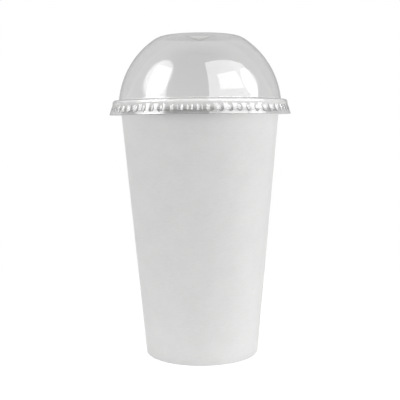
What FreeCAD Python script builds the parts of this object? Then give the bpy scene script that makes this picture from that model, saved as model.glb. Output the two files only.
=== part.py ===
import FreeCAD, Part
import math
import os

# Paper cup with a clear dome lid, in three pieces, each one solid:
#   cup_wall   one wrapped paperboard blank with a rolled rim, a side seam and a folded hem
#   cup_base   a paperboard disc whose turned-down edge is glued inside the hem
#   dome_lid   one sheet of clear film, thermoformed, with a cross-shaped slit for a straw
#
# Millimetres, +Z up. The origin is the centre of the foot, and Z = 0 is the table.
# Angles are degrees. A section is drawn in the XZ plane and turned about the Z axis.

# ---- Driving dimensions ----------------------------------------------------

# Cup
RIM_DIAMETER = 90.0        # over the rolled rim
FOOT_DIAMETER = 60.0       # over the wall, carried straight down to the table
CUP_HEIGHT = 135.0         # table to the top of the rim
WALL_BOARD = 0.35          # thickness of the wall's paperboard
BASE_BOARD = 0.30          # thickness of the base's paperboard

# Rolled rim
CURL_WIDTH = 3.4           # measured across, along the radius
CURL_SIDE = 1.5            # upright stretch on the outside of the roll
CURL_TAIL_GAP = 0.15       # from the end of the roll to the wall

# Side seam, where one edge of the blank is lapped over the other
SEAM_AZIMUTH = 90.0        # middle of the lap, counted from +X: the cup's back
SEAM_LAP = 8.0             # width of the lap at the rim
SEAM_FADE = 75.0           # how far round the cup each step fades away
SEAM_BELOW_CURL = 0.3      # outer edge stops this far under the roll
SEAM_STAGGER = 2.0         # inner edge stops this much lower than the outer one
SEAM_ABOVE_BASE = 0.7      # inner edge starts this far above the base

# Hem and base
BASE_RECESS = 7.0          # table to the underside of the base
HEM_STOPS_SHORT = 1.0      # the hem's inner flap ends this far under the base
GLUE_LINE = 0.03           # gap between two glued layers
BASE_EDGE_GAP = 0.15       # the base's turned-down edge stops this far above the fold
BASE_BEND = 0.30           # inside radius of the base's bend

# Lid
LID_SHEET = 0.35           # film thickness
SEAT_GAP = 0.10            # rim to the underside of the lid's ledge
RIM_CLEARANCE = 0.75       # rim to the lid's shoulder, on the radius
SKIRT_HEIGHT = 7.55        # ledge down to the lip
SKIRT_FLARE = 1.85         # how much further out the lip stands than the shoulder
BAND_LEAN = 4.0            # lean of the upright band under the shoulder
FLARE_HEIGHT = 4.9         # lip to where the flare runs into the band
BAND_ROUNDING = 1.5        # between the band and the flare
SHOULDER_ROUNDING = 1.50
LEDGE_WIDTH = 3.30         # shoulder to the foot of the dome
DOME_HEIGHT = 33.35        # ledge to the flat top
CROWN_DIAMETER = 42.0      # where the dome, carried on, would meet the flat top
DOME_FOOT_FILLET = 0.70
CROWN_ROUNDING = 11.0

# Dents that catch under the rim
DENT_COUNT = 60
DENT_WIDTH = 2.9
DENT_DEPTH = 0.5
DENT_ABOVE_LIP = 3.1       # lip to the middle of a dent
FIRST_DENT_AZIMUTH = 0.0

# Straw slit
SLIT_LENGTH = 20.0         # each of the two crossing cuts, end to end
SLIT_GAP = 0.3             # between neighbouring leaves
SLIT_AZIMUTH = 45.0        # direction of one cut
LEAF_BEND = 16.0           # how far each leaf is pushed down

# ---- Drawing helpers -------------------------------------------------------

ORIGIN = FreeCAD.Vector(0, 0, 0)
Z_AXIS = FreeCAD.Vector(0, 0, 1)


def point(radius, height):
    """A point of a section."""
    return FreeCAD.Vector(radius, 0, height)


def polar(centre, radius, angle):
    """A point of a section, from a circle's centre; 0 is outward and 90 is up."""
    turn = math.radians(angle)
    return centre + point(radius * math.cos(turn), radius * math.sin(turn))


def direction_between(start, end):
    """Angle of the way from one section point to another."""
    return math.degrees(math.atan2(end.z - start.z, end.x - start.x))


def line(start, end):
    return Part.LineSegment(start, end).toShape()


def arc(centre, radius, start_angle, end_angle):
    angles = (start_angle, (start_angle + end_angle) / 2, end_angle)
    return Part.Arc(*[polar(centre, radius, angle) for angle in angles]).toShape()


def rounded_run(corners):
    """Edges through (point, rounding) corners: straight runs joined by tangent arcs."""
    edges = []
    reached = corners[0][0]
    for (before, _), (corner, rounding), (after, _) in zip(corners, corners[1:], corners[2:]):
        arriving = (corner - before).normalize()
        leaving = (after - corner).normalize()
        half_turn = arriving.getAngle(leaving) / 2
        tangent = rounding * math.tan(half_turn)
        arc_start = corner - arriving * tangent
        arc_end = corner + leaving * tangent
        edges.append(line(reached, arc_start))
        if rounding > 0:
            inward = (leaving - arriving).normalize()
            to_arc = rounding / math.cos(half_turn) - rounding
            edges.append(Part.Arc(arc_start, corner + inward * to_arc, arc_end).toShape())
        reached = arc_end
    edges.append(line(reached, corners[-1][0]))
    return edges


def revolved(edges):
    """The solid that a closed section makes when it is turned about the Z axis."""
    return Part.Face(Part.Wire(edges)).revolve(ORIGIN, Z_AXIS, 360)


def turned_copies(shape, count, first_azimuth):
    """Copies of a shape that stands at azimuth 0, spread evenly round the Z axis."""
    copies = []
    for index in range(count):
        copy = shape.copy()
        copy.rotate(ORIGIN, Z_AXIS, first_azimuth + index * 360 / count)
        copies.append(copy)
    return copies


def tidied(shape):
    """A boolean result with its split faces joined again."""
    return shape.removeSplitter()


# ---- Cup wall --------------------------------------------------------------

rim_radius = RIM_DIAMETER / 2
foot_radius = FOOT_DIAMETER / 2
curl_radius = CURL_WIDTH / 2
curl_top_centre = point(rim_radius - curl_radius, CUP_HEIGHT - curl_radius)
curl_low_centre = curl_top_centre - point(0, CURL_SIDE)
curl_bottom = CUP_HEIGHT - CURL_WIDTH - CURL_SIDE
base_top = BASE_RECESS + BASE_BOARD
hem_thickness = 2 * WALL_BOARD + BASE_BOARD + 2 * GLUE_LINE


def wall_lean():
    """Angle of the wall from upright: its outer face runs into the inside of the roll."""
    foot_corner = point(foot_radius, 0)
    way = curl_top_centre - foot_corner
    return 90 - direction_between(foot_corner, curl_top_centre) - math.degrees(
        math.asin((curl_radius - WALL_BOARD) / way.Length))


lean = wall_lean()
lean_sin = math.sin(math.radians(lean))
lean_cos = math.cos(math.radians(lean))


def wall_radius(height, depth=0.0):
    """Radius of the cone that lies this deep inside the wall's outer face."""
    return foot_radius + height * lean_sin / lean_cos - depth / lean_cos


def curl_line(depth):
    """The roll at this depth in the board: over the top, down the side, and its tail angle."""
    radius = curl_radius - depth
    wall_distance = curl_radius - WALL_BOARD + CURL_SIDE * lean_sin
    tail_opening = math.degrees(math.acos((wall_distance - CURL_TAIL_GAP) / curl_radius))
    wall_angle = 180 - lean
    tail_angle = wall_angle - 360 + tail_opening
    edges = [
        arc(curl_top_centre, radius, wall_angle, 0),
        line(polar(curl_top_centre, radius, 0), polar(curl_low_centre, radius, 0)),
        arc(curl_low_centre, radius, 0, tail_angle),
    ]
    start = polar(curl_top_centre, radius, wall_angle)
    tail = polar(curl_low_centre, radius, tail_angle)
    return edges, start, tail


def wall_section():
    """Rolled rim, wall and folded hem as one strip of board."""
    flap_top = BASE_RECESS - HEM_STOPS_SHORT
    flap_outer = hem_thickness - WALL_BOARD
    food_side, wall_inner_top, tail_outer = curl_line(0.0)
    print_side, wall_outer_top, tail_inner = curl_line(WALL_BOARD)
    hem = rounded_run([
        (wall_outer_top, 0),
        (point(foot_radius, 0), WALL_BOARD),
        (point(wall_radius(0, hem_thickness), 0), WALL_BOARD),
        (point(wall_radius(flap_top, hem_thickness), flap_top), 0),
        (point(wall_radius(flap_top, flap_outer), flap_top), 0),
        (point(wall_radius(WALL_BOARD, flap_outer), WALL_BOARD), 0),
        (point(wall_radius(WALL_BOARD, WALL_BOARD), WALL_BOARD), 0),
        (wall_inner_top, 0),
    ])
    print_side.reverse()
    return food_side + [line(tail_outer, tail_inner)] + print_side + hem


def seam_crescent(depth, low, high, edge_azimuth):
    """What the wall's cone gains on one side of a seam edge, where it steps out by one board."""
    radii = (wall_radius(low, depth), wall_radius(high, depth))
    cone = Part.makeCone(*radii, high - low, point(0, low), Z_AXIS)
    stepped = Part.makeCone(*radii, high - low, point(0, low), Z_AXIS, SEAM_FADE)
    stepped.rotate(ORIGIN, Z_AXIS, edge_azimuth - SEAM_FADE)
    turn = math.radians(edge_azimuth)
    stepped.translate(FreeCAD.Vector(math.cos(turn), math.sin(turn), 0) * WALL_BOARD)
    return stepped.cut(cone)


def cup_wall():
    half_lap = math.degrees(SEAM_LAP / 2 / rim_radius)
    seam_top = curl_bottom - SEAM_BELOW_CURL
    outer_step = seam_crescent(0.0, WALL_BOARD, seam_top, SEAM_AZIMUTH + half_lap)
    inner_step = seam_crescent(WALL_BOARD, base_top + SEAM_ABOVE_BASE, seam_top - SEAM_STAGGER,
                               SEAM_AZIMUTH - half_lap)
    return tidied(revolved(wall_section()).fuse(outer_step).cut(inner_step))


# ---- Cup base --------------------------------------------------------------

def cup_base():
    """A flat disc with its edge turned down between the wall and the hem's flap."""
    outer = WALL_BOARD + GLUE_LINE
    inner = outer + BASE_BOARD
    edge_low = WALL_BOARD + BASE_EDGE_GAP
    section = rounded_run([
        (point(0, base_top), 0),
        (point(wall_radius(base_top, outer), base_top), BASE_BEND + BASE_BOARD),
        (point(wall_radius(edge_low, outer), edge_low), 0),
        (point(wall_radius(edge_low, inner), edge_low), 0),
        (point(wall_radius(BASE_RECESS, inner), BASE_RECESS), BASE_BEND),
        (point(0, BASE_RECESS), 0),
    ])
    return revolved(section + [line(point(0, BASE_RECESS), point(0, base_top))])


# ---- Dome lid --------------------------------------------------------------

ledge = CUP_HEIGHT + SEAT_GAP + LID_SHEET
lip = ledge - SKIRT_HEIGHT
shoulder_radius = rim_radius + RIM_CLEARANCE + LID_SHEET
lip_radius = shoulder_radius + SKIRT_FLARE
dome_foot_radius = shoulder_radius - LEDGE_WIDTH
crown_radius = CROWN_DIAMETER / 2
lid_top = ledge + DOME_HEIGHT
flare_top = lip + FLARE_HEIGHT
band_tilt = math.radians(BAND_LEAN)
band_radius = shoulder_radius + (ledge - flare_top) * math.tan(band_tilt)
flare_tilt = math.atan2(lip_radius - band_radius, FLARE_HEIGHT)

# The dome is part of a ball that passes through the ledge's and the crown's circles.
ball_below_ledge = (dome_foot_radius ** 2 - crown_radius ** 2 - DOME_HEIGHT ** 2) / (2 * DOME_HEIGHT)
ball_radius = math.hypot(dome_foot_radius, ball_below_ledge)
ball_centre = point(0, ledge - ball_below_ledge)


def band_cone(height, depth=0.0):
    """Radius of the upright band's cone, this deep inside its outer face."""
    return band_radius - (height - flare_top) * math.tan(band_tilt) - depth / math.cos(band_tilt)


def flare_cone(height, depth=0.0):
    """Radius of the flare's cone, this deep inside its outer face."""
    return lip_radius - (height - lip) * math.tan(flare_tilt) - depth / math.cos(flare_tilt)


def where_cones_meet(depth):
    """Section point where the band and the flare meet, this deep inside their outer faces."""
    apart = band_cone(flare_top, depth) - flare_cone(flare_top, depth)
    height = flare_top + apart / (math.tan(band_tilt) - math.tan(flare_tilt))
    return point(band_cone(height, depth), height)


def beside_ball(centre_height, distance):
    """Section point at this height and at this distance from the ball's centre."""
    return point(math.sqrt(distance ** 2 - (centre_height - ball_centre.z) ** 2), centre_height)


def lid_line(depth):
    """The lid's section, this deep inside its outer face, from the lip to the axis."""
    foot_centre = beside_ball(ledge + DOME_FOOT_FILLET, ball_radius + DOME_FOOT_FILLET)
    crown_centre = beside_ball(lid_top - CROWN_ROUNDING, ball_radius - CROWN_ROUNDING)
    foot_angle = direction_between(ball_centre, foot_centre)
    crown_angle = direction_between(ball_centre, crown_centre)
    edges = rounded_run([
        (point(flare_cone(lip, depth), lip), 0),
        (where_cones_meet(depth), BAND_ROUNDING + depth),
        (point(band_cone(ledge - depth, depth), ledge - depth), SHOULDER_ROUNDING - depth),
        (point(foot_centre.x, ledge - depth), 0),
    ])
    edges.append(arc(foot_centre, DOME_FOOT_FILLET + depth, -90, foot_angle - 180))
    edges.append(arc(ball_centre, ball_radius - depth, foot_angle, crown_angle))
    edges.append(arc(crown_centre, CROWN_ROUNDING - depth, crown_angle, 90))
    edges.append(line(point(crown_centre.x, lid_top - depth), point(0, lid_top - depth)))
    return edges


def lid_shell():
    axis_edge = line(point(0, lid_top), point(0, lid_top - LID_SHEET))
    lip_edge = line(point(flare_cone(lip, LID_SHEET), lip), point(lip_radius, lip))
    inside = list(reversed(lid_line(LID_SHEET)))
    return revolved(lid_line(0.0) + [axis_edge] + inside + [lip_edge])


def with_dents(shell):
    """Round dents pushed into the flare; the film keeps its thickness behind each one."""
    ball = (DENT_WIDTH ** 2 / 4 + DENT_DEPTH ** 2) / (2 * DENT_DEPTH)
    height = lip + DENT_ABOVE_LIP
    outward = point(math.cos(flare_tilt), math.sin(flare_tilt))
    centre = point(flare_cone(height), height) + outward * (ball - DENT_DEPTH)
    flare_body = Part.makeCone(lip_radius, band_radius, FLARE_HEIGHT, point(0, lip), Z_AXIS)
    bump = Part.makeSphere(ball + LID_SHEET, centre).common(flare_body)
    hollow = Part.makeSphere(ball, centre)
    bumps = turned_copies(bump, DENT_COUNT, FIRST_DENT_AZIMUTH)
    hollows = turned_copies(hollow, DENT_COUNT, FIRST_DENT_AZIMUTH)
    return shell.fuse(bumps).cut(hollows)


def slit_leaf(hinge_distance):
    """One triangular leaf of the slit, hinged on its far side and pushed down at its tip."""
    side_gap = SLIT_GAP / math.sqrt(2)
    half_base = hinge_distance - side_gap
    underside = lid_top - LID_SHEET
    corners = [FreeCAD.Vector(side_gap, 0, underside),
               FreeCAD.Vector(hinge_distance, half_base, underside),
               FreeCAD.Vector(hinge_distance, -half_base, underside)]
    triangle = Part.Face(Part.makePolygon(corners + corners[:1]))
    leaf = triangle.extrude(Z_AXIS * LID_SHEET)
    leaf.rotate(point(hinge_distance, lid_top), FreeCAD.Vector(0, 1, 0), -LEAF_BEND)
    return leaf


def with_slit(shell):
    """A square opening in the flat top, closed again by the four leaves of the slit."""
    hinge_distance = SLIT_LENGTH / 2 / math.sqrt(2)
    side = 2 * hinge_distance
    past_film = LID_SHEET / 2
    corner = FreeCAD.Vector(-hinge_distance, -hinge_distance, lid_top - LID_SHEET - past_film)
    opening = Part.makeBox(side, side, LID_SHEET + 2 * past_film, corner)
    side_azimuth = SLIT_AZIMUTH - 45
    opening.rotate(ORIGIN, Z_AXIS, side_azimuth)
    leaves = turned_copies(slit_leaf(hinge_distance), 4, side_azimuth)
    return shell.cut(opening).fuse(leaves)


def dome_lid():
    return tidied(with_slit(with_dents(lid_shell())))


# ---- Files -----------------------------------------------------------------

os.makedirs("parts", exist_ok=True)
for name, make in (("cup_wall", cup_wall), ("cup_base", cup_base), ("dome_lid", dome_lid)):
    make().exportStep("parts/" + name + ".step")
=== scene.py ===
import math

import bmesh
import bpy
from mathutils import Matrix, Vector


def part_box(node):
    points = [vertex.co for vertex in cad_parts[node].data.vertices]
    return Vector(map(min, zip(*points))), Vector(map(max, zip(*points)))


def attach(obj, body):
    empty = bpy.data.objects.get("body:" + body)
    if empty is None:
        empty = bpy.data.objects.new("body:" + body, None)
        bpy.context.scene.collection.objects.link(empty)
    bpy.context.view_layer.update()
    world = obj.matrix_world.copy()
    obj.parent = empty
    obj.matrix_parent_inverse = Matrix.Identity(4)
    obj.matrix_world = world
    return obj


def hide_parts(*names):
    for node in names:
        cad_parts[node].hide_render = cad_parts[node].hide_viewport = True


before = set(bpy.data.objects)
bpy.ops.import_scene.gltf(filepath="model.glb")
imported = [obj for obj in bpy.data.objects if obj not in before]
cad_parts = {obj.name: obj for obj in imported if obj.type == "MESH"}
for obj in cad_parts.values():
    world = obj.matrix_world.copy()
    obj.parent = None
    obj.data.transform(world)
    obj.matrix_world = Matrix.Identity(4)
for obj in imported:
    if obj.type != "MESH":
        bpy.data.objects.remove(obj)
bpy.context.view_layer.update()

# A paper cup with a clear dome lid. The board pieces are sheets bent to shape and given their
# thickness at the end, and the lid is one drawn sheet of film. Metres, +Z up, the front faces -Y.

MM = 0.001

# ---- Sizes read from the frame ---------------------------------------------

wall_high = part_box("cup_wall")[1]
base_low, base_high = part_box("cup_base")
lid_low, lid_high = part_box("dome_lid")
RIM_RADIUS = wall_high.x
CUP_HEIGHT = wall_high.z
BASE_TOP = base_high.z
BASE_EDGE_LOW = base_low.z
LIP_HEIGHT = lid_low.z
LIP_RADIUS = lid_high.x
LID_TOP = lid_high.z

# ---- Sizes of the board ----------------------------------------------------

BOARD = 0.35 * MM
BASE_BOARD = 0.30 * MM
GLUE_LINE = 0.03 * MM
FOOT_RADIUS = 30.0 * MM
CURL_WIDTH = 3.4 * MM
CURL_SIDE = 1.5 * MM
HEM_HEIGHT = 6.0 * MM
HEM_ROUNDING = 0.16 * MM
BASE_ROUNDING = 0.45 * MM
SEAM_AZIMUTH = 90.0
SEAM_LAP = 8.0 * MM

ROUND_STEPS = 216           # steps once round the cup
SEAM_STEPS = 6              # steps round the lap
WALL_CUTS = 19              # cuts between the foot and the roll
CURL_VERTICES = 48          # a full circle of the roll
CURL_OPEN_STEPS = 6         # steps of that circle left open beside the wall
BASE_INSETS = (1.0 * MM, 6.0 * MM, 8.0 * MM, 8.0 * MM)

# ---- Sizes of the film -----------------------------------------------------

FILM = 0.35 * MM
SEAT_GAP = 0.10 * MM        # between the rim's top and the ledge
RIM_CLEARANCE = 0.75 * MM   # between the rim's side and the skirt
LEDGE_WIDTH = 3.30 * MM
SHOULDER_RADIUS = RIM_RADIUS + RIM_CLEARANCE + FILM
SHOULDER_ROUNDING = 1.50 * MM
DOME_FOOT_RADIUS = SHOULDER_RADIUS - LEDGE_WIDTH
DOME_FOOT_FILLET = 0.70 * MM
CROWN_RADIUS = 21.0 * MM
CROWN_ROUNDING = 11.0 * MM
BAND_LEAN = 4.0             # the upright band between the shoulder and the flare
FLARE_HEIGHT = 4.9 * MM
DENT_COUNT = 60
DENT_WIDTH = 2.8 * MM
DENT_HEIGHT = 3.9 * MM
DENT_DEPTH = 0.5 * MM
DENT_ABOVE_LIP = 3.1 * MM
DENT_EDGE_SOFTNESS = 0.06 * MM
SLIT_REACH = 10.0 * MM      # from the middle to the end of each cut
SLIT_MARGIN = 1.0 * MM      # flat film kept round the slit
LEAF_BEND = 16.0

DOME_RINGS = 144            # rings of the whole ball
CROWN_STEPS = 12
FILLET_STEPS = 6
BAND_SHARES = (0.12, 0.88, 1.0)     # rings on the upright band, from its top
FLARE_ROWS = 5
FLARE_CUTS = 3              # cuts in each face of the flare, so that the dents are smooth

# ---- How close and how smooth the modelling is -----------------------------

SAME_PLACE = 0.01 * MM      # what lies closer than this counts as one place
SMOOTH_ANGLE = 40.0

# ---- Sizes of the stage ----------------------------------------------------

CAMERA_PLACE = (-0.1 * MM, -422.9 * MM, 123.6 * MM)
CAMERA_TILT_DOWN = 5.60
CAMERA_ROLL = 0.58
CAMERA_LENS = 71.13

# How white the background looks through the film and in its gloss, next to 1 when seen directly.
BACKDROP_THROUGH_FILM = 0.64
BACKDROP_IN_GLOSS = 0.60

TABLE_NEAR_BOUNCE = 0.60    # what the table gives back to the object, close by and further out
TABLE_FAR_BOUNCE = 0.25
TABLE_SHADE = 0.30          # how much of the object's shadow shows on it

# ---- Modelling helpers -----------------------------------------------------


def take_primitive(name):
    """Names the primitive that was just added, fixes its place in its mesh, and opens it for editing."""
    piece = bpy.context.active_object
    piece.name = name
    piece.data.name = name
    bpy.ops.object.transform_apply(location=True, rotation=True, scale=True)
    bpy.ops.object.mode_set(mode="EDIT")
    bpy.ops.mesh.select_all(action="DESELECT")
    return piece


def select(piece, kind, test):
    """Leaves only the VERT, EDGE or FACE elements selected that pass the test."""
    bpy.ops.mesh.select_mode(type=kind)
    bpy.ops.mesh.select_all(action="DESELECT")
    mesh = bmesh.from_edit_mesh(piece.data)
    for element in {"VERT": mesh.verts, "EDGE": mesh.edges, "FACE": mesh.faces}[kind]:
        if test(element):
            element.select_set(True)
    mesh.select_flush_mode()
    bmesh.update_edit_mesh(piece.data)


def radius_of(place):
    return math.hypot(place.x, place.y)


def middle_of(edge):
    return (edge.verts[0].co + edge.verts[1].co) / 2


def select_ring(piece, radius, height):
    """Selects the ring of edges at this radius and height."""
    slack = 2 * SAME_PLACE

    def on_ring(edge):
        return all(abs(v.co.z - height) < slack and abs(radius_of(v.co) - radius) < slack
                   for v in edge.verts)
    select(piece, "EDGE", on_ring)


def extend_ring(piece, radius, height):
    """Extrudes the selected ring of edges and brings the new ring to this radius and height."""
    mesh = bmesh.from_edit_mesh(piece.data)
    on_ring = next(v.co.copy() for v in mesh.verts if v.select)
    bpy.ops.mesh.extrude_region_move(TRANSFORM_OT_translate={"value": (0, 0, height - on_ring.z)})
    scale = radius / radius_of(on_ring)
    bpy.ops.transform.resize(value=(scale, scale, 1), center_override=(0, 0, height))


def extend_along_arc(piece, centre, radius, start, end, steps):
    """Extrudes the selected ring along an arc of the section; 0 is outward and 90 is up."""
    for step in range(1, steps + 1):
        angle = math.radians(start + (end - start) * step / steps)
        extend_ring(piece, centre[0] + radius * math.cos(angle), centre[1] + radius * math.sin(angle))


def clean_sheet(piece, outward_test):
    """Merges doubles and turns the sheet's faces the way that the test asks for."""
    bpy.ops.mesh.select_mode(type="FACE")
    bpy.ops.mesh.select_all(action="SELECT")
    bpy.ops.mesh.remove_doubles(threshold=SAME_PLACE)
    bpy.ops.mesh.normals_make_consistent(inside=False)
    mesh = bmesh.from_edit_mesh(piece.data)
    mesh.normal_update()
    if not outward_test(mesh):
        bpy.ops.mesh.flip_normals()


def faces_outward(mesh):
    """Whether the faces look away from the axis on the whole."""
    total = 0.0
    for face in mesh.faces:
        middle = face.calc_center_median()
        total += (face.normal.x * middle.x + face.normal.y * middle.y) * face.calc_area()
    return total > 0


def faces_up(mesh):
    return sum(face.normal.z * face.calc_area() for face in mesh.faces) > 0


def give_thickness(piece, thickness, offset, inner_slot=0, edge_slot=0):
    """Leaves edit mode and turns the sheet into a solid wall.

    Offset 0 leaves the sheet in the wall's middle, and -1 leaves it on the outer face.
    """
    bpy.ops.object.mode_set(mode="OBJECT")
    bpy.ops.object.modifier_add(type="SOLIDIFY")
    solid = piece.modifiers[-1]
    solid.thickness = thickness
    solid.offset = offset
    solid.use_even_offset = True
    solid.material_offset = inner_slot
    solid.material_offset_rim = edge_slot
    bpy.ops.object.modifier_apply(modifier=solid.name)
    bpy.ops.object.shade_smooth_by_angle(angle=math.radians(SMOOTH_ANGLE))
    bpy.ops.object.select_all(action="DESELECT")


def give_materials(piece, materials):
    """Gives a sheet its materials: the outer face first, then the inner face and the cut edge."""
    for material in materials:
        piece.data.materials.append(material)


# ---- The cup's wall: one strip of board, wound once round and lapped -------

curl_radius = CURL_WIDTH / 2
curl_middle_radius = curl_radius - BOARD / 2
curl_centre = (RIM_RADIUS - curl_radius, CUP_HEIGHT - curl_radius)
curl_reach = math.hypot(curl_centre[0] - FOOT_RADIUS, curl_centre[1])
lean = math.atan2(curl_centre[0] - FOOT_RADIUS, curl_centre[1]) - math.asin(
    (curl_radius - BOARD) / curl_reach)
hem_thickness = 2 * BOARD + BASE_BOARD + 2 * GLUE_LINE


def wall_radius(height, depth):
    """Radius of the wall's cone, this deep inside its outer face."""
    return FOOT_RADIUS + height * math.tan(lean) - depth / math.cos(lean)


def wall_strip(materials):
    """The board's section from the roll down to the hem, wound once round with a lap at the back."""
    lap_angle = SEAM_LAP / RIM_RADIUS
    seam = math.radians(SEAM_AZIMUTH) - lap_angle / 2
    across = Vector((math.cos(seam), math.sin(seam), 0))
    wall_angle = math.pi - lean

    def at(radius, height):
        return across * radius + Vector((0, 0, height))

    def roll_angle(place):
        """Angle round the roll, counted from where the wall runs into it."""
        outward = place.dot(across) - curl_centre[0]
        return (math.atan2(place.z - curl_centre[1], outward) - wall_angle) % (2 * math.pi)

    step = 2 * math.pi / CURL_VERTICES
    bpy.ops.mesh.primitive_circle_add(
        vertices=CURL_VERTICES, radius=curl_middle_radius, location=at(*curl_centre),
        rotation=(math.pi / 2, (math.pi / 2 - wall_angle) % step, seam))
    piece = take_primitive("cup_wall_board")

    # The roll: a circle, opened beside the wall, with an upright stretch on its outside.
    select(piece, "VERT", lambda v: step / 2 < roll_angle(v.co) < (CURL_OPEN_STEPS - 0.5) * step)
    bpy.ops.mesh.delete(type="VERT")
    select(piece, "VERT", lambda v: v.co.z < curl_centre[1])
    bpy.ops.transform.translate(value=(0, 0, -CURL_SIDE))

    # The wall runs down from the roll, turns in under the foot and up again as the hem's flap.
    fold_height = BOARD / 2
    flap_depth = hem_thickness - BOARD / 2
    corners = [at(wall_radius(fold_height, BOARD / 2), fold_height),
               at(wall_radius(fold_height, flap_depth), fold_height),
               at(wall_radius(HEM_HEIGHT, flap_depth), HEM_HEIGHT)]
    select(piece, "VERT", lambda v: v.co.z > curl_centre[1] and
           min(roll_angle(v.co), 2 * math.pi - roll_angle(v.co)) < step / 2)
    mesh = bmesh.from_edit_mesh(piece.data)
    reached = next(v.co.copy() for v in mesh.verts if v.select)
    for corner in corners:
        bpy.ops.mesh.extrude_vertices_move(TRANSFORM_OT_translate={"value": corner - reached})
        reached = corner
    select(piece, "VERT", lambda v: abs(v.co.z - fold_height) < SAME_PLACE)
    bpy.ops.mesh.bevel(offset=HEM_ROUNDING, offset_type="OFFSET", segments=4, affect="VERTICES")
    select(piece, "EDGE", lambda e: abs(e.verts[0].co.z - e.verts[1].co.z) > CUP_HEIGHT / 2)
    bpy.ops.mesh.subdivide(number_cuts=WALL_CUTS)

    # Half a turn at one radius, half a turn that drifts out by a board, and the lap over the start.
    drift = BOARD + GLUE_LINE
    bpy.ops.mesh.select_all(action="SELECT")
    half_turn = ROUND_STEPS // 2
    bpy.ops.mesh.spin(steps=half_turn, angle=math.pi, center=(0, 0, 0), axis=(0, 0, 1))
    bpy.ops.mesh.spin(steps=half_turn, angle=math.pi, center=across * drift / 2, axis=(0, 0, 1))
    bpy.ops.mesh.spin(steps=SEAM_STEPS, angle=lap_angle, center=(0, 0, 0), axis=(0, 0, 1))
    clean_sheet(piece, faces_outward)
    give_materials(piece, materials)
    give_thickness(piece, BOARD, offset=0, inner_slot=1, edge_slot=2)
    return piece


# ---- The cup's base --------------------------------------------------------

def base_disc(materials):
    """A disc set up inside the foot, with its edge turned down inside the hem."""
    skirt_depth = BOARD + GLUE_LINE + BASE_BOARD / 2
    middle_height = BASE_TOP - BASE_BOARD / 2
    radius = wall_radius(middle_height, skirt_depth)
    bpy.ops.mesh.primitive_circle_add(vertices=ROUND_STEPS, radius=radius,
                                      location=(0, 0, middle_height))
    piece = take_primitive("cup_base_board")
    select_ring(piece, radius, middle_height)
    extend_ring(piece, wall_radius(BASE_EDGE_LOW, skirt_depth), BASE_EDGE_LOW)
    select_ring(piece, radius, middle_height)
    bpy.ops.mesh.edge_face_add()
    select(piece, "FACE", lambda f: len(f.verts) > 4)
    for inset in BASE_INSETS:
        bpy.ops.mesh.inset(thickness=inset)
    select_ring(piece, radius, middle_height)
    bpy.ops.mesh.bevel(offset=BASE_ROUNDING, offset_type="OFFSET", segments=5, affect="EDGES")
    clean_sheet(piece, faces_up)
    give_materials(piece, materials)
    give_thickness(piece, BASE_BOARD, offset=0, inner_slot=1, edge_slot=2)
    return piece


# ---- The lid: one sheet of film, drawn over a dome -------------------------

LEDGE = CUP_HEIGHT + SEAT_GAP + FILM
dome_height = LID_TOP - LEDGE
ball_below_ledge = (DOME_FOOT_RADIUS ** 2 - CROWN_RADIUS ** 2 - dome_height ** 2) / (2 * dome_height)
ball_radius = math.hypot(DOME_FOOT_RADIUS, ball_below_ledge)
ball_height = LEDGE - ball_below_ledge
flare_top = LIP_HEIGHT + FLARE_HEIGHT
band_turn = math.radians(BAND_LEAN)
band_radius = SHOULDER_RADIUS + (LEDGE - flare_top) * math.tan(band_turn)
flare_turn = math.atan2(LIP_RADIUS - band_radius, FLARE_HEIGHT)


def beside_ball(height, distance):
    """Section point at this height and this far from the ball's middle."""
    return math.sqrt(distance ** 2 - (height - ball_height) ** 2), height


def angle_from_ball(place):
    return math.degrees(math.atan2(place[1] - ball_height, place[0]))


def flare_radius(height):
    return LIP_RADIUS - (height - LIP_HEIGHT) * math.tan(flare_turn)


def cut_level(height, keep_above):
    """Cuts the piece being edited at a level, drops one side, and leaves the cut ring selected."""
    bpy.ops.mesh.select_mode(type="FACE")
    bpy.ops.mesh.select_all(action="SELECT")
    bpy.ops.mesh.bisect(plane_co=(0, 0, height), plane_no=(0, 0, 1),
                        clear_inner=keep_above, clear_outer=not keep_above)
    bpy.ops.mesh.select_mode(type="EDGE")


def crown_and_flat(piece, crown_centre):
    """Cuts off the ball's top and rounds what is left over into the flat."""
    crown_angle = angle_from_ball(crown_centre)
    crown_start = crown_centre[1] + CROWN_ROUNDING * math.sin(math.radians(crown_angle))
    cut_level(crown_start, keep_above=False)
    extend_along_arc(piece, crown_centre, CROWN_ROUNDING, crown_angle, 90, CROWN_STEPS)
    extend_ring(piece, (crown_centre[0] + SLIT_REACH) / 2, LID_TOP)
    extend_ring(piece, SLIT_REACH + SLIT_MARGIN, LID_TOP)
    bpy.ops.mesh.edge_face_add()


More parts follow.
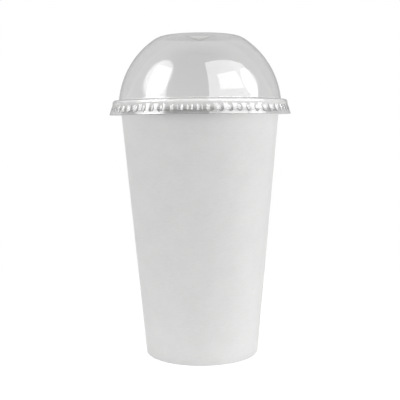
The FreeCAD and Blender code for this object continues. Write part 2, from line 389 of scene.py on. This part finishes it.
def ledge_and_skirt(piece, foot_centre):
    """From the dome's foot: the fillet, the ledge, the shoulder, the band and the flare."""
    foot_angle = angle_from_ball(foot_centre)
    fillet_start = foot_centre[1] - DOME_FOOT_FILLET * math.sin(math.radians(foot_angle))
    cut_level(fillet_start, keep_above=True)
    extend_along_arc(piece, foot_centre, DOME_FOOT_FILLET, foot_angle + 180, 270, FILLET_STEPS)
    # The shoulder's rounding starts and ends where its circle touches the ledge and the band.
    shoulder_tangent = SHOULDER_ROUNDING * math.tan((math.pi / 2 - band_turn) / 2)
    shoulder_centre = (SHOULDER_RADIUS - shoulder_tangent, LEDGE - SHOULDER_ROUNDING)
    extend_ring(piece, shoulder_centre[0], LEDGE)
    extend_along_arc(piece, shoulder_centre, SHOULDER_ROUNDING, 90, BAND_LEAN, FILLET_STEPS)
    shoulder_low = shoulder_centre[1] + SHOULDER_ROUNDING * math.sin(band_turn)
    for share in BAND_SHARES:
        height = shoulder_low + (flare_top - shoulder_low) * share
        extend_ring(piece, band_radius - (height - flare_top) * math.tan(band_turn), height)
    for row in range(1, FLARE_ROWS + 1):
        height = flare_top + (LIP_HEIGHT - flare_top) * row / FLARE_ROWS
        extend_ring(piece, flare_radius(height), height)
    select(piece, "FACE", lambda f: all(v.co.z < flare_top + SAME_PLACE for v in f.verts))
    bpy.ops.mesh.subdivide(number_cuts=FLARE_CUTS)


def press_dents(piece):
    """Presses the tall dents into the flare.

    A dent is a ball's cap across. Along its height it stays deep for longer, so its sides are
    straight, and its edge is softened all round.
    """
    ball = (DENT_WIDTH ** 2 / 4 + DENT_DEPTH ** 2) / (2 * DENT_DEPTH)
    dent_height = LIP_HEIGHT + DENT_ABOVE_LIP
    pitch = 2 * math.pi / DENT_COUNT
    mesh = bmesh.from_edit_mesh(piece.data)
    for vertex in mesh.verts:
        height = vertex.co.z
        if height > flare_top + SAME_PLACE:
            continue
        azimuth = math.atan2(vertex.co.y, vertex.co.x)
        across = (azimuth - round(azimuth / pitch) * pitch) * flare_radius(height)
        share = (height - dent_height) / math.cos(flare_turn) / (DENT_HEIGHT / 2)
        along = DENT_WIDTH / 2 * share ** 2
        cap = math.sqrt(max(ball ** 2 - across ** 2 - along ** 2, 0)) - (ball - DENT_DEPTH)
        depth = (cap + math.hypot(cap, DENT_EDGE_SOFTNESS)) / 2
        depth -= DENT_EDGE_SOFTNESS ** 2 / (4 * (ball - DENT_DEPTH))
        radius = flare_radius(height) - depth * math.cos(flare_turn)
        height -= depth * math.sin(flare_turn)
        vertex.co = (radius * math.cos(azimuth), radius * math.sin(azimuth), height)
    bmesh.update_edit_mesh(piece.data)


def cut_slit(piece):
    """Cuts the cross in the flat top and pushes its four leaves down."""
    hinge = SLIT_REACH / math.sqrt(2)
    sides = ((1, 0, 0), (-1, 0, 0), (0, 1, 0), (0, -1, 0))

    def inside_flat(face):
        reach = (face.calc_center_median() - Vector((0, 0, LID_TOP))).length
        return reach < SLIT_REACH + 0.9 * SLIT_MARGIN

    diagonals = [((0, 0, LID_TOP), (1, 1, 0)), ((0, 0, LID_TOP), (1, -1, 0))]
    hinges = [(Vector(side) * hinge + Vector((0, 0, LID_TOP)), side) for side in sides]
    for place, normal in diagonals + hinges:
        select(piece, "FACE", inside_flat)
        bpy.ops.mesh.bisect(plane_co=place, plane_no=normal)

    def on_hinge(edge):
        middle = middle_of(edge)
        run = edge.verts[1].co - edge.verts[0].co
        straight = min(abs(run.x), abs(run.y)) < SAME_PLACE
        reach = max(abs(middle.x), abs(middle.y))
        return middle.z > LID_TOP - SAME_PLACE and straight and abs(reach - hinge) < SAME_PLACE

    select(piece, "EDGE", on_hinge)
    bpy.ops.mesh.mark_sharp()

    def on_cut(edge):
        middle = middle_of(edge)
        on_diagonal = abs(abs(middle.x) - abs(middle.y)) < SAME_PLACE
        return (on_diagonal and middle.z > LID_TOP - SAME_PLACE and
                max(radius_of(v.co) for v in edge.verts) < SLIT_REACH + SAME_PLACE)

    select(piece, "EDGE", on_cut)
    bpy.ops.mesh.edge_split(type="EDGE")
    bend = math.radians(LEAF_BEND)
    for side in sides:
        outward = Vector(side)

        def is_tip(vertex):
            if vertex.co.z < LID_TOP - SAME_PLACE or radius_of(vertex.co) > SAME_PLACE:
                return False
            return vertex.link_faces[0].calc_center_median().dot(outward) > 0.5 * MM

        select(piece, "VERT", is_tip)
        move = outward * hinge * (1 - math.cos(bend)) - Vector((0, 0, hinge * math.sin(bend)))
        bpy.ops.transform.translate(value=move)


def lid_film(materials):
    """A ball's middle zone, drawn up into the crown and out into the ledge and the skirt."""
    foot_centre = beside_ball(LEDGE + DOME_FOOT_FILLET, ball_radius + DOME_FOOT_FILLET)
    crown_centre = beside_ball(LID_TOP - CROWN_ROUNDING, ball_radius - CROWN_ROUNDING)
    bpy.ops.mesh.primitive_uv_sphere_add(segments=ROUND_STEPS, ring_count=DOME_RINGS,
                                         radius=ball_radius, location=(0, 0, ball_height))
    piece = take_primitive("dome_lid_film")
    crown_and_flat(piece, crown_centre)
    ledge_and_skirt(piece, foot_centre)
    press_dents(piece)
    cut_slit(piece)
    clean_sheet(piece, faces_outward)
    give_materials(piece, materials)
    give_thickness(piece, FILM, offset=-1)
    return piece


# ---- Material node groups --------------------------------------------------

def new_group(name, inputs, outputs):
    """A shader node group with (name, socket type, default) inputs and (name, socket type) outputs."""
    group = bpy.data.node_groups.new(name, "ShaderNodeTree")
    for socket_name, socket_type, value in inputs:
        socket = group.interface.new_socket(name=socket_name, in_out="INPUT", socket_type=socket_type)
        socket.default_value = value
    for socket_name, socket_type in outputs:
        group.interface.new_socket(name=socket_name, in_out="OUTPUT", socket_type=socket_type)
    entry = group.nodes.new("NodeGroupInput")
    leave = group.nodes.new("NodeGroupOutput")
    return group, entry, leave


def grey(level):
    return level, level, level, 1


def math_node(nodes, links, operation, first, second):
    """A Math node; each side is a socket or a number."""
    node = nodes.new("ShaderNodeMath")
    node.operation = operation
    for index, side in enumerate((first, second)):
        if isinstance(side, (int, float)):
            node.inputs[index].default_value = side
        else:
            links.new(side, node.inputs[index])
    return node.outputs[0]


def map_range(nodes, links, value, reads, gives, interpolation="LINEAR"):
    """A Map Range node from one pair of values to another."""
    node = nodes.new("ShaderNodeMapRange")
    node.interpolation_type = interpolation
    for socket, number in zip(("From Min", "From Max", "To Min", "To Max"), (*reads, *gives)):
        node.inputs[socket].default_value = number
    links.new(value, node.inputs["Value"])
    return node.outputs["Result"]


def vector_math(nodes, links, operation, source, output="Vector"):
    node = nodes.new("ShaderNodeVectorMath")
    node.operation = operation
    links.new(source, node.inputs[0])
    return node.outputs[output]


def board_surface_group():
    """Fibres, cloudy formation and fine grain of paperboard, as a colour and a height."""
    group, entry, leave = new_group(
        "board_surface",
        [("Light", "NodeSocketColor", (0.85, 0.85, 0.84, 1)),
         ("Dark", "NodeSocketColor", (0.80, 0.80, 0.79, 1)),
         ("Grain", "NodeSocketFloat", 900.0)],
        [("Color", "NodeSocketColor"), ("Height", "NodeSocketFloat")])
    nodes, links = group.nodes, group.links
    place = nodes.new("ShaderNodeTexCoord").outputs["Object"]

    def noise(scale, detail, source=place):
        node = nodes.new("ShaderNodeTexNoise")
        node.inputs["Detail"].default_value = detail
        links.new(source, node.inputs["Vector"])
        if isinstance(scale, (int, float)):
            node.inputs["Scale"].default_value = scale
        else:
            links.new(scale, node.inputs["Scale"])
        return node.outputs["Fac"]

    # Fibres lie round the cup, so their noise is squeezed along the height.
    lay = nodes.new("ShaderNodeMapping")
    lay.inputs["Scale"].default_value = (0.35, 0.35, 1.6)
    links.new(place, lay.inputs["Vector"])
    grain = noise(entry.outputs["Grain"], 3.0)
    fibres = noise(entry.outputs["Grain"], 5.0, lay.outputs["Vector"])
    clouds = noise(90.0, 2.0)
    rough = math_node(nodes, links, "ADD", math_node(nodes, links, "MULTIPLY", grain, 0.45),
                      math_node(nodes, links, "MULTIPLY", fibres, 0.55))
    tone = math_node(nodes, links, "ADD", math_node(nodes, links, "MULTIPLY", rough, 0.6),
                     math_node(nodes, links, "MULTIPLY", clouds, 0.4))
    mix = nodes.new("ShaderNodeMix")
    mix.data_type = "RGBA"
    links.new(map_range(nodes, links, tone, (0.35, 0.65), (0, 1)), mix.inputs[0])
    links.new(entry.outputs["Dark"], mix.inputs[6])
    links.new(entry.outputs["Light"], mix.inputs[7])
    links.new(mix.outputs[2], leave.inputs["Color"])
    links.new(rough, leave.inputs["Height"])
    return group


def film_waves_group():
    """The slow waves and faint texture that drawing leaves in a film, as a height."""
    group, entry, leave = new_group(
        "film_waves",
        [("Wave scale", "NodeSocketFloat", 40.0), ("Texture scale", "NodeSocketFloat", 500.0)],
        [("Height", "NodeSocketFloat")])
    nodes, links = group.nodes, group.links
    place = nodes.new("ShaderNodeTexCoord").outputs["Object"]
    heights = []
    for socket, weight in (("Wave scale", 0.9), ("Texture scale", 0.1)):
        node = nodes.new("ShaderNodeTexNoise")
        node.inputs["Detail"].default_value = 1.0
        links.new(place, node.inputs["Vector"])
        links.new(entry.outputs[socket], node.inputs["Scale"])
        heights.append(math_node(nodes, links, "MULTIPLY", node.outputs["Fac"], weight))
    links.new(math_node(nodes, links, "ADD", *heights), leave.inputs["Height"])
    return group


# ---- Materials -------------------------------------------------------------

def new_material(name):
    material = bpy.data.materials.new(name)
    material.use_nodes = True
    nodes, links = material.node_tree.nodes, material.node_tree.links
    shader = nodes["Principled BSDF"]
    return material, nodes, links, shader


def place_group(nodes, group, **values):
    node = nodes.new("ShaderNodeGroup")
    node.node_tree = group
    for socket, value in values.items():
        node.inputs[socket.replace("_", " ")].default_value = value
    return node


def bump_into(nodes, links, height, shader, distance, strength):
    bump = nodes.new("ShaderNodeBump")
    bump.inputs["Distance"].default_value = distance
    bump.inputs["Strength"].default_value = strength
    links.new(height, bump.inputs["Height"])
    links.new(bump.outputs["Normal"], shader.inputs["Normal"])


def mix_shaders(nodes, links, factor, first, second):
    """Gives the first shader where the factor is 0 and the second where it is 1."""
    mix = nodes.new("ShaderNodeMixShader")
    links.new(factor, mix.inputs["Fac"])
    links.new(first.outputs[0], mix.inputs[1])
    links.new(second.outputs[0], mix.inputs[2])
    return mix


def board_material(name, surface, light, dark, grain, roughness, bump_distance):
    material, nodes, links, shader = new_material(name)
    group = place_group(nodes, surface, Light=(*light, 1), Dark=(*dark, 1), Grain=grain)
    links.new(group.outputs["Color"], shader.inputs["Base Color"])
    shader.inputs["Roughness"].default_value = roughness
    shader.inputs["IOR"].default_value = 1.45
    bump_into(nodes, links, group.outputs["Height"], shader, bump_distance, strength=0.6)
    return material


def board_materials(surface):
    """The board's printable face, its coated face and its cut edge."""
    printable = board_material("board_printable_face", surface,
                               light=(0.84, 0.84, 0.835), dark=(0.79, 0.79, 0.785),
                               grain=900.0, roughness=0.62, bump_distance=0.02 * MM)
    coated = board_material("board_coated_face", surface,
                            light=(0.84, 0.84, 0.83), dark=(0.80, 0.80, 0.79),
                            grain=700.0, roughness=0.30, bump_distance=0.008 * MM)
    cut = board_material("board_cut_edge", surface,
                         light=(0.74, 0.71, 0.65), dark=(0.62, 0.58, 0.51),
                         grain=2500.0, roughness=0.9, bump_distance=0.04 * MM)
    return printable, coated, cut


def film_material(waves):
    """Clear film. Its shadow is light, so the lamps reach the board under it."""
    material, nodes, links, shader = new_material("clear_film")
    shader.inputs["Base Color"].default_value = grey(0.97)
    shader.inputs["Roughness"].default_value = 0.055
    shader.inputs["IOR"].default_value = 1.54
    shader.inputs["Transmission Weight"].default_value = 1.0
    group = place_group(nodes, waves, Wave_scale=40.0, Texture_scale=500.0)
    bump_into(nodes, links, group.outputs["Height"], shader, distance=0.02 * MM, strength=0.05)
    path = nodes.new("ShaderNodeLightPath")
    clear = nodes.new("ShaderNodeBsdfTransparent")
    clear.inputs["Color"].default_value = grey(0.99)
    bounced = mix_shaders(nodes, links, path.outputs["Is Diffuse Ray"], shader, clear)
    mix = mix_shaders(nodes, links, path.outputs["Is Shadow Ray"], bounced, clear)
    links.new(mix.outputs["Shader"], nodes["Material Output"].inputs["Surface"])
    return material


# ---- Stage -----------------------------------------------------------------

def seen_directly(nodes, links):
    """1 for camera rays, less in gloss and through film, and 0 for rays that light the object."""
    path = nodes.new("ShaderNodeLightPath")
    in_gloss = math_node(nodes, links, "MULTIPLY", path.outputs["Is Glossy Ray"], BACKDROP_IN_GLOSS)
    through_film = math_node(nodes, links, "MULTIPLY", path.outputs["Is Transmission Ray"],
                             BACKDROP_THROUGH_FILM)
    return math_node(nodes, links, "MAXIMUM", path.outputs["Is Camera Ray"],
                     math_node(nodes, links, "MAXIMUM", in_gloss, through_film))


def white_world(in_front, behind, sweep_edge):
    """White all round to look at. The light it gives comes mostly from the white sweep behind.

    The sweep's light starts where a direction's share along +Y is the edge's, and is full at 1.
    """
    world = bpy.data.worlds.new("studio")
    bpy.context.scene.world = world
    world.use_nodes = True
    nodes, links = world.node_tree.nodes, world.node_tree.links
    background = nodes["Background"]
    background.inputs["Color"].default_value = (1, 1, 1, 1)
    towards = nodes.new("ShaderNodeSeparateXYZ")
    links.new(nodes.new("ShaderNodeTexCoord").outputs["Generated"], towards.inputs["Vector"])
    sweep = map_range(nodes, links, towards.outputs["Y"], (sweep_edge, 1), (in_front, behind),
                      "SMOOTHSTEP")
    path = nodes.new("ShaderNodeLightPath")
    light = math_node(nodes, links, "MULTIPLY", path.outputs["Is Diffuse Ray"], sweep)
    links.new(math_node(nodes, links, "MAXIMUM", seen_directly(nodes, links), light),
              background.inputs["Strength"])


def table(radius, fade_from, fade_to, own_glow):
    """A round white table. It shows the object's shadow close by and is plain white further out."""
    bpy.ops.mesh.primitive_circle_add(vertices=96, radius=radius, fill_type="NGON", location=(0, 0, 0))
    top = bpy.context.active_object
    top.name = "table"
    material = bpy.data.materials.new("white_table")
    material.use_nodes = True
    nodes, links = material.node_tree.nodes, material.node_tree.links
    nodes.remove(nodes["Principled BSDF"])
    distance = vector_math(nodes, links, "LENGTH", nodes.new("ShaderNodeTexCoord").outputs["Object"],
                           output="Value")
    far = map_range(nodes, links, distance, (fade_from, fade_to), (0, 1), "SMOOTHSTEP")

    # What lights the object.
    bounce_tone = nodes.new("ShaderNodeMix")
    bounce_tone.data_type = "RGBA"
    bounce_tone.inputs[6].default_value = grey(TABLE_NEAR_BOUNCE)
    bounce_tone.inputs[7].default_value = grey(TABLE_FAR_BOUNCE)
    bounce = nodes.new("ShaderNodeBsdfDiffuse")
    links.new(far, bounce_tone.inputs[0])
    links.new(bounce_tone.outputs[2], bounce.inputs["Color"])

    # What is seen: a top that takes the shadow, and plain white further out.
    shade = nodes.new("ShaderNodeBsdfDiffuse")
    shade.inputs["Color"].default_value = grey(TABLE_SHADE)
    glow = nodes.new("ShaderNodeEmission")
    glow.inputs["Strength"].default_value = own_glow
    shaded_top = nodes.new("ShaderNodeAddShader")
    links.new(shade.outputs[0], shaded_top.inputs[0])
    links.new(glow.outputs[0], shaded_top.inputs[1])
    white = nodes.new("ShaderNodeEmission")
    seen = mix_shaders(nodes, links, far, shaded_top, white)

    by_ray = mix_shaders(nodes, links, seen_directly(nodes, links), bounce, seen)
    links.new(by_ray.outputs[0], nodes["Material Output"].inputs["Surface"])
    top.data.materials.append(material)
    bpy.ops.object.select_all(action="DESELECT")


def softbox(name, facing, left, right, low, high, distance, radiance, shape="RECTANGLE", roll=0.0,
            fade=1.0):
    """An upright soft panel. Azimuth 0 is the front, and positive is right.

    It stands square to the azimuth that it faces. Its sides are azimuths too, and its lower and
    upper edge are angles above the level of the lid's dents. Angles are in degrees. With a fade
    under 1, its glow fades from that share of the way out to nothing at its edge.
    """
    turn = math.radians(facing)
    sides = [distance * math.tan(math.radians(side - facing)) for side in (left, right)]
    levels = [distance * math.tan(math.radians(angle)) for angle in (low, high)]
    outward = Vector((math.sin(turn), -math.cos(turn), 0))
    sideways = Vector((math.cos(turn), math.sin(turn), 0))
    middle = outward * distance + sideways * sum(sides) / 2
    middle.z = LIP_HEIGHT + DENT_ABOVE_LIP + sum(levels) / 2
    bpy.ops.object.light_add(type="AREA", location=middle,
                             rotation=(math.pi / 2, math.radians(roll), turn))
    lamp = bpy.context.active_object
    lamp.name = name
    lamp.data.shape = shape
    lamp.data.size = sides[1] - sides[0]
    lamp.data.size_y = levels[1] - levels[0]
    area = lamp.data.size * lamp.data.size_y * (1 if shape == "RECTANGLE" else math.pi / 4)
    lamp.data.energy = radiance * math.pi * area
    if fade < 1:
        fade_out(lamp.data, fade)


def fade_out(lamp_data, fade):
    """Lets a lamp's glow fade between this share of the way out and its edge."""
    lamp_data.use_nodes = True
    nodes, links = lamp_data.node_tree.nodes, lamp_data.node_tree.links
    middle = nodes.new("ShaderNodeVectorMath")
    middle.operation = "SUBTRACT"
    middle.inputs[1].default_value = (0.5, 0.5, 0)
    links.new(nodes.new("ShaderNodeNewGeometry").outputs["Parametric"], middle.inputs[0])
    if lamp_data.shape == "ELLIPSE":
        way_out = vector_math(nodes, links, "LENGTH", middle.outputs["Vector"], output="Value")
    else:
        sides = nodes.new("ShaderNodeSeparateXYZ")
        links.new(vector_math(nodes, links, "ABSOLUTE", middle.outputs["Vector"]),
                  sides.inputs["Vector"])
        way_out = math_node(nodes, links, "MAXIMUM", sides.outputs["X"], sides.outputs["Y"])
    glow = map_range(nodes, links, way_out, (0.5 * fade, 0.5), (1, 0), "SMOOTHSTEP")
    links.new(glow, nodes["Emission"].inputs["Strength"])


def front_camera():
    turn = (math.radians(90 - CAMERA_TILT_DOWN), math.radians(CAMERA_ROLL), 0)
    bpy.ops.object.camera_add(location=CAMERA_PLACE, rotation=turn)
    camera = bpy.context.active_object
    camera.data.sensor_width = 36.0
    camera.data.lens = CAMERA_LENS
    bpy.context.scene.camera = camera


# ---- Assembly --------------------------------------------------------------

bpy.ops.object.select_all(action="DESELECT")
board_surface = board_surface_group()
printable, coated, cut = board_materials(board_surface)
film = film_material(film_waves_group())

wall_board = wall_strip((printable, coated, cut))
base_board = base_disc((coated, printable, cut))
lid = lid_film((film,))

for piece, body, node, slot in (
    (wall_board, "cup", "cup_wall", "paperboard"),
    (base_board, "cup", "cup_base", "paperboard"),
    (lid, "lid", "dome_lid", "clear_film"),
):
    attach(piece, body)
    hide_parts(node)

white_world(in_front=0.05, behind=1.0, sweep_edge=0.3)
table(radius=0.6, fade_from=0.10, fade_to=0.30, own_glow=0.80)
softbox("left_softbox", facing=-71, left=-99, right=-45, low=6, high=58, distance=1.5,
        radiance=2.75, shape="ELLIPSE", fade=0.75)
softbox("left_softbox_core", facing=-67, left=-86, right=-48.5, low=9, high=50, distance=1.47,
        radiance=3.6, roll=-8, fade=0.7)
softbox("front_softbox", facing=32, left=13, right=90, low=13, high=63.5, distance=1.5,
        radiance=2.6)
softbox("front_softbox_core", facing=48, left=30, right=66, low=23, high=44, distance=1.47,
        radiance=2.2)
softbox("right_softbox", facing=82, left=69, right=95, low=12, high=42, distance=1.44,
        radiance=2.7, shape="ELLIPSE")
front_camera()
bpy.context.scene.view_settings.view_transform = "Standard"
